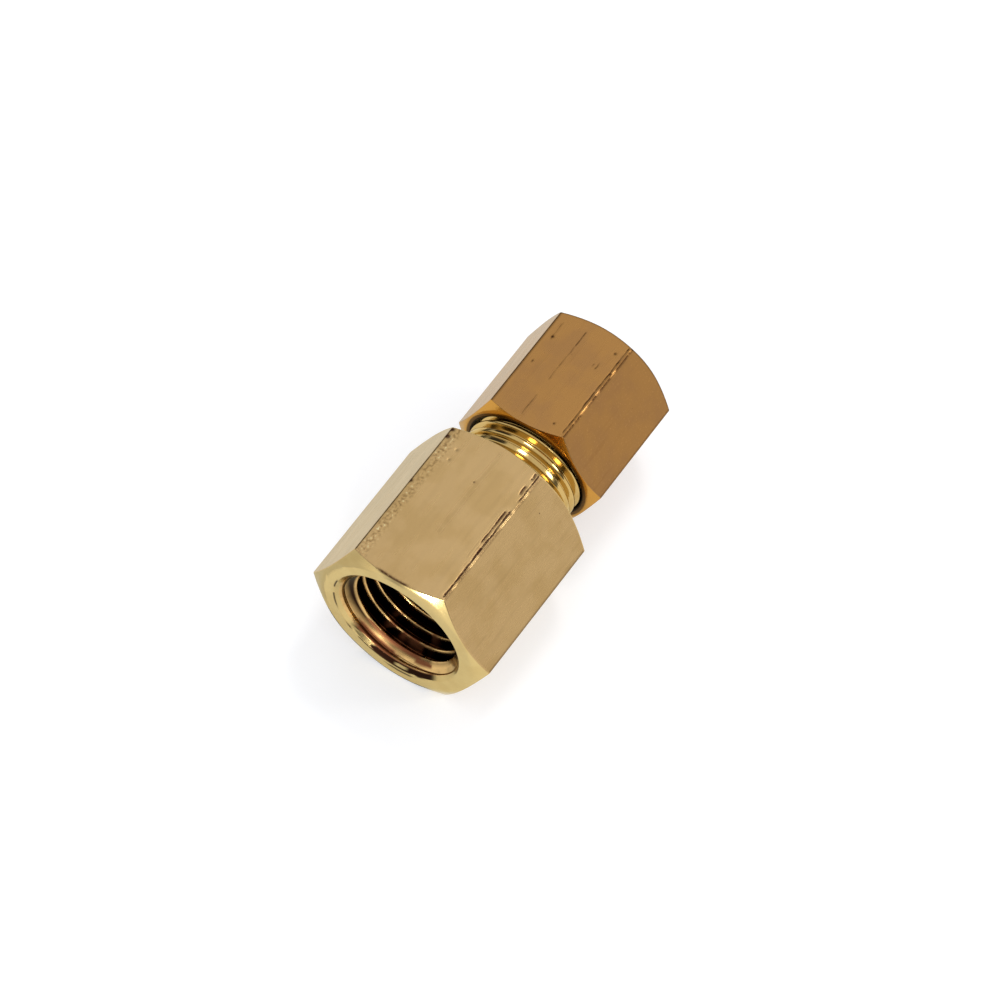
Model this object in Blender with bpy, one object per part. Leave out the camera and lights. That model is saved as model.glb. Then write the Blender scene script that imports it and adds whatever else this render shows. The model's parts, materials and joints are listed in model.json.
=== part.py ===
"""Straight brass compression fitting, lying on one flat of its body's hexagon.

A female pipe port opens at the -X end, and a tube goes in at the +X end. The fitting has three pieces: the
body, the ferrule that grips the tube, and the nut that squeezes the ferrule into the body's seat. Their shared
axis runs along X. The origin is under the middle of the fitting, on the surface that it lies on.

Every piece is drawn the way it is machined, standing on its own end face with its axis along +Z: a hexagon
bar is turned down, bored and then threaded. An empty then lays that +Z along the world's +X. A "station" is
a distance along the axis from the port face.
"""

import math

import bmesh
import bpy

INCH = 0.0254
MM = 0.001

# Fineness of every round face and of one turn of a thread.
ROUND_SIDES = 36
WELD = 1e-7
BURR = 0.004 * MM  # edges shorter than this are what two cuts leave almost on each other
CUT_PAST = 1.0 * MM  # how far a cutter runs past the face that it opens
SHARP_FROM = math.radians(25)

# Bars that the body and the nut are cut from.
BODY_FLATS = 11 / 16 * INCH
NUT_FLATS = 9 / 16 * INCH
NUT_ROLL = math.radians(-2.57)  # how far the nut's flats are turned from the body's, about +X
CHAMFER_ANGLE = math.radians(29)  # of the turned chamfer on a bar's corners, from the end face
CHAMFER_CIRCLE = 0.99  # the chamfer's circle on the end face, as a share of the flats

# Stations of the pieces at rest, with the nut run on by hand.
BODY_HEX_LENGTH = 17.9 * MM
NECK_END = 27.6 * MM
NUT_MOUTH = 22.1 * MM
NUT_LENGTH = 13.4 * MM
FERRULE_NOSE = 26.8 * MM
OVERALL_LENGTH = NUT_MOUTH + NUT_LENGTH

# Compression thread, 1/2-24 right-hand, with a loose running fit between the neck and the nut.
NECK_PITCH = INCH / 24
NECK_MAJOR_RADIUS = 6.25 * MM
NECK_THREAD_DEPTH = 0.65 * MM
NECK_CREST_FLAT = NECK_PITCH / 4
NECK_THREAD_START = BODY_HEX_LENGTH + 0.82 * MM
NECK_END_CHAMFER = 0.5 * MM
NUT_MINOR_RADIUS = 5.78 * MM
NUT_THREAD_DEPTH = 0.59 * MM
NUT_CREST_FLAT = NECK_PITCH / 8
NUT_THREAD_LENGTH = 8.3 * MM

# Pipe thread, 1/4-18 NPT: its radius shrinks by 1 in 32 going in.
PORT_PITCH = INCH / 18
PORT_TAPER = 1 / 32
PORT_MINOR_RADIUS = 5.74 * MM  # at the port face
PORT_THREAD_DEPTH = 1.0 * MM
PORT_CREST_FLAT = 0.1 * MM
PORT_THREAD_START = -1.5 * PORT_PITCH  # in front of the port, so that the first groove is cut whole
PORT_THREAD_LENGTH = 12.0 * MM
PORT_COUNTERSINK_RADIUS = 7.14 * MM
PORT_DRILL_DEPTH = 12.8 * MM
DRILL_POINT = math.radians(59)  # half the point angle of a twist drill

THREAD_FLANK = math.radians(30)
FLANK_OVERRUN = 0.02 * MM  # how far a thread cutter's flanks go on past the bar's surface
THREAD_OVERCUT = 0.3 * MM  # how far the cutter itself goes on past the surface

# Passage for a 5/16 in tube.
WATERWAY_RADIUS = 1 / 8 * INCH
TUBE_RADIUS = 5 / 32 * INCH
TUBE_HOLE_RADIUS = TUBE_RADIUS + 0.08 * MM
TUBE_STOP = 20.6 * MM
SEAT_MOUTH_RADIUS = 5.2 * MM
SEAT_ANGLE = math.radians(22)

NUT_MOUTH_RADIUS = 6.5 * MM
NUT_SHOULDER_START = 9.82 * MM  # from the nut's mouth
NUT_HOLE_CHAMFER = 0.3 * MM

FERRULE_BORE_RADIUS = TUBE_RADIUS + 0.06 * MM
FERRULE_NOSE_RADIUS = 4.25 * MM
FERRULE_RADIUS = 4.95 * MM
FERRULE_NOSE_LENGTH = 2.6 * MM
FERRULE_LENGTH = 6.25 * MM

# Brass, redder on the nut, as (red, green, blue, alpha) in linear light. A turned ring is the brightest.
BODY_BRASS = (0.50, 0.36, 0.15, 1)
NUT_BRASS = (0.44, 0.24, 0.08, 1)
FERRULE_BRASS = (0.62, 0.42, 0.17, 1)
DRAWN_ROUGHNESS = 0.35
TURNED_ROUGHNESS = 0.25


def clear_scene():
    for leftover in list(bpy.data.objects):
        bpy.data.objects.remove(leftover, do_unlink=True)


def object_from(builder, name):
    """A scene object that holds the builder's faces, turned to face outwards."""
    bmesh.ops.remove_doubles(builder, verts=builder.verts, dist=WELD)
    bmesh.ops.recalc_face_normals(builder, faces=builder.faces)
    mesh = bpy.data.meshes.new(name)
    builder.to_mesh(mesh)
    builder.free()
    made = bpy.data.objects.new(name, mesh)
    bpy.context.scene.collection.objects.link(made)
    return made


def hexagon_bar(name, across_flats, low, high, roll=0.0):
    """A hexagon bar from low to high, with a flat that faces local +X when it isn't rolled."""
    builder = bmesh.new()
    corner_radius = across_flats / math.sqrt(3)
    bmesh.ops.create_cone(
        builder,
        cap_ends=True,
        segments=6,
        radius1=corner_radius,
        radius2=corner_radius,
        depth=high - low,
    )
    bmesh.ops.translate(builder, verts=builder.verts, vec=(0, 0, (low + high) / 2))
    made = object_from(builder, name)
    made.rotation_euler.z = roll
    return made


def turned(name, outline, closed=False):
    """The solid that an outline of (radius, height) points sweeps round Z. An open one starts and ends on Z."""
    builder = bmesh.new()
    points = [builder.verts.new((radius, 0, height)) for radius, height in outline]
    pairs = list(zip(points, points[1:]))
    if closed:
        pairs.append((points[-1], points[0]))
    edges = [builder.edges.new(pair) for pair in pairs]
    bmesh.ops.spin(
        builder,
        geom=points + edges,
        cent=(0, 0, 0),
        axis=(0, 0, 1),
        angle=math.tau,
        steps=ROUND_SIDES,
        use_merge=True,
    )
    return object_from(builder, name)


def groove_section(pitch, surface_radius, depth, crest_flat, outward):
    """The (radius, height) outline of a 60 degree thread groove, cut from a surface inwards or outwards."""
    way = 1 if outward else -1
    half_width = (pitch - crest_flat) / 2
    half_root = half_width - depth * math.tan(THREAD_FLANK)
    half_open = half_width + FLANK_OVERRUN * math.tan(THREAD_FLANK)
    return [
        (surface_radius + way * depth, -half_root),
        (surface_radius + way * depth, half_root),
        (surface_radius - way * FLANK_OVERRUN, half_open),
        (surface_radius - way * THREAD_OVERCUT, half_open),
        (surface_radius - way * THREAD_OVERCUT, -half_open),
        (surface_radius - way * FLANK_OVERRUN, -half_open),
    ]


def helix(name, section, pitch, start, end, taper=0.0):
    """A right-handed cutter: the section climbs one pitch a turn, and a taper shrinks its radius on the way."""
    builder = bmesh.new()
    rings = []
    for step in range(round((end - start) / pitch * ROUND_SIDES) + 1):
        angle = math.tau * step / ROUND_SIDES
        rise = start + pitch * step / ROUND_SIDES
        ring = []
        for radius, height in section:
            reach = radius - taper * (rise + height)
            corner = (reach * math.cos(angle), reach * math.sin(angle), rise + height)
            ring.append(builder.verts.new(corner))
        rings.append(ring)
    for lower, upper in zip(rings, rings[1:]):
        for side in range(len(section)):
            following = (side + 1) % len(section)
            builder.faces.new((lower[side], lower[following], upper[following], upper[side]))
    builder.faces.new(rings[0])
    builder.faces.new(rings[-1])
    return object_from(builder, name)


def deburr(mesh):
    """Merges points that two cuts leave almost on each other, and drops the faces that close up with them."""
    builder = bmesh.new()
    builder.from_mesh(mesh)
    bmesh.ops.triangulate(builder, faces=builder.faces)
    bmesh.ops.dissolve_degenerate(builder, dist=BURR, edges=builder.edges)
    bmesh.ops.triangulate(builder, faces=builder.faces)
    builder.to_mesh(mesh)
    builder.free()


def machined(bar, kept, *cutters):
    """Turns the bar down to the solid that is kept, makes each cut in it, and removes the tools."""
    for operation, tool in [("INTERSECT", kept)] + [("DIFFERENCE", cutter) for cutter in cutters]:
        cut = bar.modifiers.new(tool.name, "BOOLEAN")
        cut.operation = operation
        cut.object = tool
    bpy.context.view_layer.update()
    mesh = bpy.data.meshes.new_from_object(bar.evaluated_get(bpy.context.evaluated_depsgraph_get()))
    bar.modifiers.clear()
    bar.data = mesh
    deburr(mesh)
    for tool in (kept, *cutters):
        bpy.data.objects.remove(tool, do_unlink=True)
    return bar


def finished(piece, colour, roughness, axis, station):
    """Gives the piece its metal and shading, and hangs it on the fitting's axis at its station."""
    metal = bpy.data.materials.new(piece.name)
    metal.use_nodes = True
    shader = metal.node_tree.nodes["Principled BSDF"]
    shader.inputs["Base Color"].default_value = colour
    shader.inputs["Metallic"].default_value = 1
    shader.inputs["Roughness"].default_value = roughness
    metal.diffuse_color = colour
    piece.data.materials.clear()
    piece.data.materials.append(metal)
    piece.data.shade_smooth()
    piece.data.set_sharp_from_angle(angle=SHARP_FROM)
    piece.parent = axis
    piece.location.z = station


def chamfered_ends(across_flats, low, high):
    """Outline points that chamfer a hexagon bar's corners at both ends, from its low end to its high end."""
    circle = CHAMFER_CIRCLE * across_flats / 2
    outside = across_flats / math.sqrt(3) + CUT_PAST
    depth = (outside - circle) * math.tan(CHAMFER_ANGLE)
    return [(circle, low), (outside, low + depth), (outside, high - depth), (circle, high)]


def adapter_body():
    """Hexagon with a tapered female port at one end and a threaded neck with a tube socket at the other."""
    bar = hexagon_bar("adapter_body", BODY_FLATS, -CUT_PAST, NECK_END + CUT_PAST)
    neck_tip = NECK_MAJOR_RADIUS - NECK_END_CHAMFER
    outside = [(0, 0)]
    outside += chamfered_ends(BODY_FLATS, 0, BODY_HEX_LENGTH)
    outside += [(NECK_MAJOR_RADIUS, BODY_HEX_LENGTH), (NECK_MAJOR_RADIUS, NECK_END - NECK_END_CHAMFER)]
    outside += [(neck_tip, NECK_END), (0, NECK_END)]

    sink = (PORT_COUNTERSINK_RADIUS - PORT_MINOR_RADIUS) / (1 - PORT_TAPER)
    port_bottom = PORT_MINOR_RADIUS - PORT_TAPER * PORT_DRILL_DEPTH
    waterway = PORT_DRILL_DEPTH + (port_bottom - WATERWAY_RADIUS) / math.tan(DRILL_POINT)
    seat = (SEAT_MOUTH_RADIUS - TUBE_HOLE_RADIUS) / math.tan(SEAT_ANGLE)
    passage = [
        (0, -CUT_PAST),
        (PORT_COUNTERSINK_RADIUS + CUT_PAST, -CUT_PAST),
        (PORT_COUNTERSINK_RADIUS - sink, sink),
        (port_bottom, PORT_DRILL_DEPTH),
        (WATERWAY_RADIUS, waterway),
        (WATERWAY_RADIUS, TUBE_STOP),
        (TUBE_HOLE_RADIUS, TUBE_STOP),
        (TUBE_HOLE_RADIUS, NECK_END - seat),
        (SEAT_MOUTH_RADIUS + CUT_PAST * math.tan(SEAT_ANGLE), NECK_END + CUT_PAST),
        (0, NECK_END + CUT_PAST),
    ]
    port_groove = groove_section(PORT_PITCH, PORT_MINOR_RADIUS, PORT_THREAD_DEPTH, PORT_CREST_FLAT, True)
    neck_groove = groove_section(NECK_PITCH, NECK_MAJOR_RADIUS, NECK_THREAD_DEPTH, NECK_CREST_FLAT, False)
    return machined(
        bar,
        turned("body_outside", outside),
        turned("body_passage", passage),
        helix("port_thread", port_groove, PORT_PITCH, PORT_THREAD_START, PORT_THREAD_LENGTH, PORT_TAPER),
        helix("neck_thread", neck_groove, NECK_PITCH, NECK_THREAD_START, NECK_END + NECK_PITCH),
    )


def compression_nut():
    """Hexagon nut, threaded to run on the neck, with a shoulder inside that bears on the ferrule's tail."""
    bar = hexagon_bar("compression_nut", NUT_FLATS, -CUT_PAST, NUT_LENGTH + CUT_PAST, NUT_ROLL)
    outside = [(0, 0), *chamfered_ends(NUT_FLATS, 0, NUT_LENGTH), (0, NUT_LENGTH)]
    shoulder_end = NUT_SHOULDER_START + NUT_MINOR_RADIUS - TUBE_HOLE_RADIUS
    bore = [
        (0, -CUT_PAST),
        (NUT_MOUTH_RADIUS + CUT_PAST, -CUT_PAST),
        (NUT_MINOR_RADIUS, NUT_MOUTH_RADIUS - NUT_MINOR_RADIUS),
        (NUT_MINOR_RADIUS, NUT_SHOULDER_START),
        (TUBE_HOLE_RADIUS, shoulder_end),
        (TUBE_HOLE_RADIUS, NUT_LENGTH - NUT_HOLE_CHAMFER),
        (TUBE_HOLE_RADIUS + NUT_HOLE_CHAMFER + CUT_PAST, NUT_LENGTH + CUT_PAST),
        (0, NUT_LENGTH + CUT_PAST),
    ]
    groove = groove_section(NECK_PITCH, NUT_MINOR_RADIUS, NUT_THREAD_DEPTH, NUT_CREST_FLAT, True)
    # The nut's groove is the neck's crest, half a pitch on from the neck's groove.
    first_groove = (NECK_THREAD_START - NUT_MOUTH + NECK_PITCH / 2) % NECK_PITCH - 2 * NECK_PITCH
    thread = helix("nut_thread", groove, NECK_PITCH, first_groove, NUT_THREAD_LENGTH)
    return machined(bar, turned("nut_outside", outside), turned("nut_bore", bore), thread)


def ferrule():
    """Compression ring: a long taper at the nose for the body's seat, a short one at the tail for the nut."""
    tail_length = FERRULE_RADIUS - FERRULE_NOSE_RADIUS
    outline = [
        (FERRULE_BORE_RADIUS, 0),
        (FERRULE_NOSE_RADIUS, 0),
        (FERRULE_RADIUS, FERRULE_NOSE_LENGTH),
        (FERRULE_RADIUS, FERRULE_LENGTH - tail_length),
        (FERRULE_NOSE_RADIUS, FERRULE_LENGTH),
        (FERRULE_BORE_RADIUS, FERRULE_LENGTH),
    ]
    return turned("ferrule", outline, closed=True)


def main():
    clear_scene()
    axis = bpy.data.objects.new("fitting_axis", None)
    axis.location = (-OVERALL_LENGTH / 2, 0, BODY_FLATS / 2)
    axis.rotation_euler.y = math.radians(90)
    bpy.context.scene.collection.objects.link(axis)
    finished(adapter_body(), BODY_BRASS, DRAWN_ROUGHNESS, axis, 0)
    finished(compression_nut(), NUT_BRASS, DRAWN_ROUGHNESS, axis, NUT_MOUTH)
    finished(ferrule(), FERRULE_BRASS, TURNED_ROUGHNESS, axis, FERRULE_NOSE)


main()
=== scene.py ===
# %% [markdown]
# # A brass compression fitting
# A straight plumbing adapter: a hexagon body with a female pipe port, a threaded neck, a smaller hexagon
# nut that screws along the neck, and a loose ring, the ferrule, hidden between them. A machinist cuts all
# three from brass bar on a lathe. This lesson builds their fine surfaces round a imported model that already
# holds the sizes and the motion, so the first cell loads that model and keeps its box.

# %% Load the frame
import json
import math

import bmesh
import bpy
import numpy as np
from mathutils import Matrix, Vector

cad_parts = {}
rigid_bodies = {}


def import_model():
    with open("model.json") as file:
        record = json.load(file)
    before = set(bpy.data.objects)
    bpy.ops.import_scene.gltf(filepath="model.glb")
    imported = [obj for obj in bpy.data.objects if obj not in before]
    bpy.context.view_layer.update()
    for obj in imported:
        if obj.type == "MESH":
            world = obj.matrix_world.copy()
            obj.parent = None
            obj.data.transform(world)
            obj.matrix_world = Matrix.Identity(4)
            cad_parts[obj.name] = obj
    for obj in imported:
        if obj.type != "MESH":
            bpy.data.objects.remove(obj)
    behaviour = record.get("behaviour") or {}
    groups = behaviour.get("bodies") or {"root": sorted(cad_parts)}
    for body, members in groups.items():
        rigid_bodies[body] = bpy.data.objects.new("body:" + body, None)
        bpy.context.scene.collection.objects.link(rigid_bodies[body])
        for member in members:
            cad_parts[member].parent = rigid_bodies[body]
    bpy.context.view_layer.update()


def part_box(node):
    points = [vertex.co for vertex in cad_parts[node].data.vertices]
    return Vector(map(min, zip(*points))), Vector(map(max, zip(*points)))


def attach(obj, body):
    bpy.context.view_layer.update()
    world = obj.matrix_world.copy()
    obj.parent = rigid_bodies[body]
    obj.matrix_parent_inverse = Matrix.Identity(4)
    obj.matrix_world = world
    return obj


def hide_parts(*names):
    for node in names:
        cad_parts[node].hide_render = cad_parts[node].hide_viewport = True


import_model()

MM = 0.001
INCH = 0.0254
TURN = 2 * math.pi

# %% [markdown]
# ## Where things are
# The pieces share one axis along X. A "station" is a distance along that axis from the face of the pipe
# port, in the way that a turner measures from the end of the bar. The frame's boxes give the port face, the
# end of the neck, the two ends of the nut and the height of the axis.

# %% Stations from the frame
body_low, body_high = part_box("adapter_body")
nut_low, nut_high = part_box("compression_nut")
ring_low, ring_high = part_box("ferrule")

PORT_FACE_X = body_low.x
AXIS_Z = (body_low.z + body_high.z) / 2
NECK_END = body_high.x - PORT_FACE_X
NUT_MOUTH = nut_low.x - PORT_FACE_X
NUT_LENGTH = nut_high.x - nut_low.x
FERRULE_NOSE = ring_low.x - PORT_FACE_X
FERRULE_LENGTH = ring_high.x - ring_low.x
BODY_FLATS = body_high.z - body_low.z
NUT_FLATS = 9 / 16 * INCH
NUT_ROLL = math.radians(-2.57)
BODY_HEX_LENGTH = 17.9 * MM

print(f"hexagon {BODY_FLATS / MM:.3f} mm across its flats")
print(f"neck ends at {NECK_END / MM:.2f} mm, nut starts at {NUT_MOUTH / MM:.2f} mm")

# %% [markdown]
# ## A hexagon with worn corners
# Hexagon bar is drawn through a die, so its corners are never quite sharp. The outline is six flats joined
# by small arcs. Written as a distance from the axis for each angle, a flat is (half the flats) / cos(angle
# from its middle), and a corner arc is a circle seen from the axis. The columns of every surface stand at
# the same angles: they crowd towards the corners, where the surface turns quickly, and spread out on the
# flats.

# %% Hexagon outline and its columns
CORNER_WEAR = 0.17 * MM
FLAT_STEPS = 18
ARC_STEPS = 6
CROWDING = 0.65
NARROWEST = 0.02 * MM


def crowded(steps, crowding=CROWDING):
    """Numbers from 0 to 1 that crowd towards both ends: t - crowding * sin(turn * t) / turn."""
    even = np.linspace(0, 1, steps + 1)
    return even - crowding * np.sin(TURN * even) / TURN


def hexagon_columns(across_flats, marked, roll=0.0):
    """Angles of the columns, from +Y towards +Z, once round and ending on the first again.

    marked lists distances across the flat that faces up, where extra columns stand to hold its marks.
    """
    half = across_flats / 2
    flat_end = math.atan((half - CORNER_WEAR) * math.tan(TURN / 12) / half)
    flat = flat_end * (2 * crowded(FLAT_STEPS) - 1)
    arc = np.linspace(flat_end, TURN / 6 - flat_end, ARC_STEPS + 1)[1:-1]
    sector = np.concatenate([flat, arc])
    plain = TURN / 12 + roll + TURN / 6 * np.arange(6)[:, None] + sector
    extra = TURN / 4 + roll + np.arctan(np.asarray(marked) / half)
    angles = np.sort(np.concatenate([plain.ravel(), extra]))
    apart = np.append(True, np.diff(angles) > NARROWEST / half)
    return np.append(angles[apart], angles[0] + TURN)


def across_flat(angles, across_flats, roll=0.0):
    """Distance across a flat from its middle: half the flats times tan(angle from the middle)."""
    return across_flats / 2 * np.tan((angles - roll) % (TURN / 6) - TURN / 12)


def flat_number(angles, roll=0.0):
    """Which flat an angle is on. Flat 1 faces up, and 0 and 2 are its neighbours towards +Y and -Y."""
    return np.floor((angles - roll) / (TURN / 6)).astype(int) % 6


def hexagon_radius(angles, across_flats, roll=0.0):
    """Distance from the axis to the hexagon: half / cos on a flat, and a small circle at a corner."""
    half = across_flats / 2
    from_flat = (angles - roll) % (TURN / 6) - TURN / 12
    flat = half / np.cos(from_flat)
    from_corner = TURN / 12 - np.abs(from_flat)
    centre = (half - CORNER_WEAR) / math.cos(TURN / 12)
    inside = np.maximum(CORNER_WEAR**2 - (centre * np.sin(from_corner)) ** 2, 0)
    arc = centre * np.cos(from_corner) + np.sqrt(inside)
    on_flat = np.abs(from_flat) <= math.atan((half - CORNER_WEAR) * math.tan(TURN / 12) / half)
    return np.where(on_flat, flat, arc)


print("worn corner at", round(hexagon_radius(np.array([0.0]), BODY_FLATS)[0] / MM, 3), "mm from the axis")

# %% [markdown]
# ## Profiles with broken edges
# A turned piece is an outline carried round the axis. Here the outline may differ from angle to angle,
# because a chamfer that is turned on a hexagon runs deeper at the corners than on the flats. Every edge is
# broken a little, as a file or a tumbling drum leaves it: the corner C between two straight runs becomes
# the curve (1-t)^2 A + 2t(1-t) C + t^2 B, where A and B lie a short way along each run.

# %% Outlines with rounded corners
EDGE_STEPS = 6
LONG_RUN = 40
EVEN = 0.2


def along(runs):
    """Rows of (station, radius) points along a chain of corners.

    A corner is (station, radius, wear, steps): wear is how far its rounding reaches, and steps is how many
    rows cross the straight run that follows it. Station, radius and wear may each hold one value a column.
    """
    columns = np.broadcast_shapes(*(np.shape(value) for run in runs for value in run[:3]))
    corners = [np.stack([np.broadcast_to(value, columns) for value in run[:2]]) for run in runs]
    starts, ends, rows = [], [], []
    for here, corner in enumerate(corners):
        if here in (0, len(corners) - 1):
            starts.append(corner)
            ends.append(corner)
            continue
        before, after = corners[here - 1] - corner, corners[here + 1] - corner
        length_before, length_after = np.hypot(*before), np.hypot(*after)
        wear = np.minimum(runs[here][2], 0.45 * np.minimum(length_before, length_after))
        starts.append(corner + before * wear / np.maximum(length_before, 1e-12))
        ends.append(corner + after * wear / np.maximum(length_after, 1e-12))
    for here, corner in enumerate(corners):
        if here == 0:
            rows.append(corner[None])
        else:
            steps = runs[here - 1][3]
            share = crowded(steps, EVEN if steps > LONG_RUN else CROWDING)[1:, None, None]
            rows.append(ends[here - 1] * (1 - share) + starts[here] * share)
        if 0 < here < len(corners) - 1 and np.max(runs[here][2]) > 0:
            t = np.linspace(0, 1, EDGE_STEPS + 1)[1:, None, None]
            rows.append((1 - t) ** 2 * starts[here] + 2 * t * (1 - t) * corner + t**2 * ends[here])
    return np.concatenate(rows)


CHAMFER_ANGLE = math.radians(29)
CHAMFER_CIRCLE = 0.99


def chamfer_depth(radius, across_flats):
    """Depth of a turned chamfer: the radius less the circle on the end face, times the slope."""
    return (radius - CHAMFER_CIRCLE * across_flats / 2) * math.tan(CHAMFER_ANGLE)


print("corner chamfer", round(chamfer_depth(BODY_FLATS / math.sqrt(3), BODY_FLATS) / MM, 2), "mm deep")

# %% [markdown]
# ## Screw threads
# A thread is a groove that climbs one pitch each turn. At a point, the distance to the nearest groove's
# middle comes from the station and the angle together, and a 60 degree cutter leaves a depth of (half its
# width - distance) / tan 30, held between nothing and the full depth. The two limits are blended softly,
# because a die leaves crests and roots a little round. Rows of the surface climb with the groove, so no row
# ever crosses a crest: it takes one pitch's worth of extra rows, which gather at the two ends of the
# thread.

# %% Thread depth and its climbing rows
FLANK_SLOPE = 1 / math.tan(math.radians(30))
FIRST_GROOVE_ANGLE = -TURN / 4


def soft_min(first, second, blend):
    """The lower of two values, rounded where they cross: (sum - root of (difference^2 + blend^2)) / 2."""
    return (first + second - np.sqrt((first - second) ** 2 + blend**2)) / 2


def soft_max(first, second, blend):
    """The higher of two values, rounded where they cross: (sum + root of (difference^2 + blend^2)) / 2."""
    return -soft_min(-first, -second, blend)


def smooth_step(value):
    """0 below 0, 1 above 1, and 3v^2 - 2v^3 between."""
    held = np.clip(value, 0, 1)
    return held * held * (3 - 2 * held)


def groove_middle(angles, thread):
    """Station of the groove's middle: it climbs one pitch a turn, right-handed."""
    return thread["groove_at"] + thread["pitch"] * (angles - FIRST_GROOVE_ANGLE) / TURN


def groove_depth(stations, angles, thread):
    """Depth of a 60 degree groove at each station and angle.

    It fades to nothing over the runout, and before the die's lead it is shallower by the lift.
    """
    turns = (stations - groove_middle(angles, thread)) / thread["pitch"]
    distance = np.abs((turns + 0.5) % 1 - 0.5) * thread["pitch"]
    full = thread["depth"] * smooth_step((stations - thread["runout"][0]) / thread["runout"][1])
    wedge = ((thread["pitch"] - thread["crest"]) / 2 - distance) * FLANK_SLOPE
    wedge = wedge - thread["lift"] * (1 - smooth_step((stations - thread["lead"][0]) / thread["lead"][1]))
    return soft_max(soft_min(wedge, full, thread["wear"]), 0, thread["wear"])


def thread_stations(first, last, angles, thread):
    """Stations of rows that climb with the groove and gather at the ends of the threaded length.

    In each pitch the rows stand where the outline bends: in the root, up the flank and over the crest.
    """
    pitch, reach = thread["pitch"], thread["wear"] / FLANK_SLOPE
    crest = (pitch - thread["crest"]) / 2
    root = max(crest - thread["depth"] / FLANK_SLOPE, reach)
    side = [root - reach, root + reach, root + 3 * reach, (root + crest) / 2]
    side += [crest - 3 * reach, crest - reach, crest + reach]
    one_pitch = np.array([-place for place in side[::-1]] + side + [pitch / 2])
    middle = groove_middle(angles, thread)
    low = math.floor((first - middle.max()) / pitch) - 1
    high = math.ceil((last - middle.min()) / pitch) + 1
    steps = (np.arange(low, high + 1)[:, None] * pitch + one_pitch).reshape(-1, 1)
    stations = np.clip(middle + steps, first, last)
    inside = (stations.max(axis=1) > first) & (stations.min(axis=1) < last)
    first_row, last_row = np.flatnonzero(inside)[[0, -1]]
    return stations[first_row - 1 : last_row + 2]


print("24 threads to the inch climb", round(INCH / 24 / MM, 3), "mm a turn")

# %% [markdown]
# ## From rows to a closed skin
# Rows of points go round the axis and stack up from the port face along the outside and back through the
# bore, so the skin closes on itself both ways, like a tyre. Points that meet, at the seam and where thread
# rows gather, are merged. Each row also names the finish that its faces take: drawn flats, turned faces or
# threads.

# %% Make the mesh
SEAM_WELD = 1e-7
DRAWN, TURNED, THREADED, BORED = range(4)


def skin(name, parts, angles, marks):
    """Builds the closed mesh of a piece from (rows, finish number) parts and returns its object.

    marks gives the dents' depth, the grime and painted shade, and the pitting from a point's station,
    radius and angle.
    """
    profile = np.concatenate([rows for rows, _ in parts])
    finish = np.concatenate([np.full(len(rows), number) for rows, number in parts])
    station, radius = profile[:, 0], profile[:, 1]
    dent, grime_and_shade, pitting = marks(station, radius, np.broadcast_to(angles, station.shape))
    dent = dent * (finish == DRAWN)[:, None]
    radius = radius - dent
    x = PORT_FACE_X + station
    points = np.stack([x, radius * np.cos(angles), AXIS_Z + radius * np.sin(angles)], -1)
    row_count, column_count = points.shape[:2]
    row, column = np.meshgrid(np.arange(row_count), np.arange(column_count - 1), indexing="ij")
    next_row = (row + 1) % row_count
    quads = np.stack(
        [
            row * column_count + column,
            row * column_count + column + 1,
            next_row * column_count + column + 1,
            next_row * column_count + column,
        ],
        -1,
    ).reshape(-1, 4)
    mesh = bpy.data.meshes.new(name)
    mesh.from_pydata(points.reshape(-1, 3), [], quads)
    mesh.polygons.foreach_set("material_index", np.repeat(finish, column_count - 1).astype(np.int32))
    for layer, values in (("grime_and_shade", grime_and_shade), ("pitting", pitting)):
        attribute = mesh.attributes.new(layer, "FLOAT", "POINT")
        attribute.data.foreach_set("value", values.astype(np.float32).ravel())
    builder = bmesh.new()
    builder.from_mesh(mesh)
    bmesh.ops.remove_doubles(builder, verts=builder.verts, dist=SEAM_WELD)
    open_edges = sum(not edge.is_manifold for edge in builder.edges)
    builder.to_mesh(mesh)
    builder.free()
    mesh.shade_smooth()
    piece = bpy.data.objects.new(name, mesh)
    bpy.context.scene.collection.objects.link(piece)
    triangles = sum(len(face.vertices) - 2 for face in mesh.polygons)
    print(f"{name}: {triangles} triangles, {open_edges} open edges")
    return piece


print("finishes are numbered: drawn", DRAWN, "turned", TURNED, "threaded", THREADED, "bored", BORED)

# %% [markdown]
# ## Marks of use
# The fitting has been in a spanner and in a box with others. A scratch is a long shallow dent: its depth
# falls away from its line as exp(-(distance / width)^2) and fades at both ends. Dirt settles in it, so each
# mark also darkens the metal. The flat that faces up took most of them, along its corner towards -Y, and
# its other edge is pitted.

# %% Soft masks
NOISE_CELLS = 64  # the pattern repeats after this many


def noise(across, along_it, seed):
    """Smooth random values from -1 to 1 on a unit grid: random corners, blended by smooth_step."""
    corners = np.random.default_rng(seed).uniform(-1, 1, (NOISE_CELLS, NOISE_CELLS))
    low_a, low_b = np.floor(across).astype(int), np.floor(along_it).astype(int)
    part_a, part_b = smooth_step(across - low_a), smooth_step(along_it - low_b)
    here_a, here_b = low_a % NOISE_CELLS, low_b % NOISE_CELLS
    next_a, next_b = (low_a + 1) % NOISE_CELLS, (low_b + 1) % NOISE_CELLS
    near = corners[here_a, here_b] * (1 - part_b) + corners[here_a, next_b] * part_b
    far = corners[next_a, here_b] * (1 - part_b) + corners[next_a, next_b] * part_b
    return near * (1 - part_a) + far * part_a


def between(values, low, high, fade):
    """1 from low to high, falling softly to 0 at both ends."""
    return smooth_step((values - low) / fade) * smooth_step((high - values) / fade)


def facing(angles, middle, reach, fade):
    """1 round a direction, in degrees, falling softly to 0 at reach degrees away from it."""
    away = np.abs((np.degrees(angles) - middle + 180) % 360 - 180)
    return smooth_step((reach - away) / fade)


def line_at(values, middle, width):
    """1 on a line and exp(-(distance / width)^2) away from it."""
    return np.exp(-(((values - middle) / width) ** 2))


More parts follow.
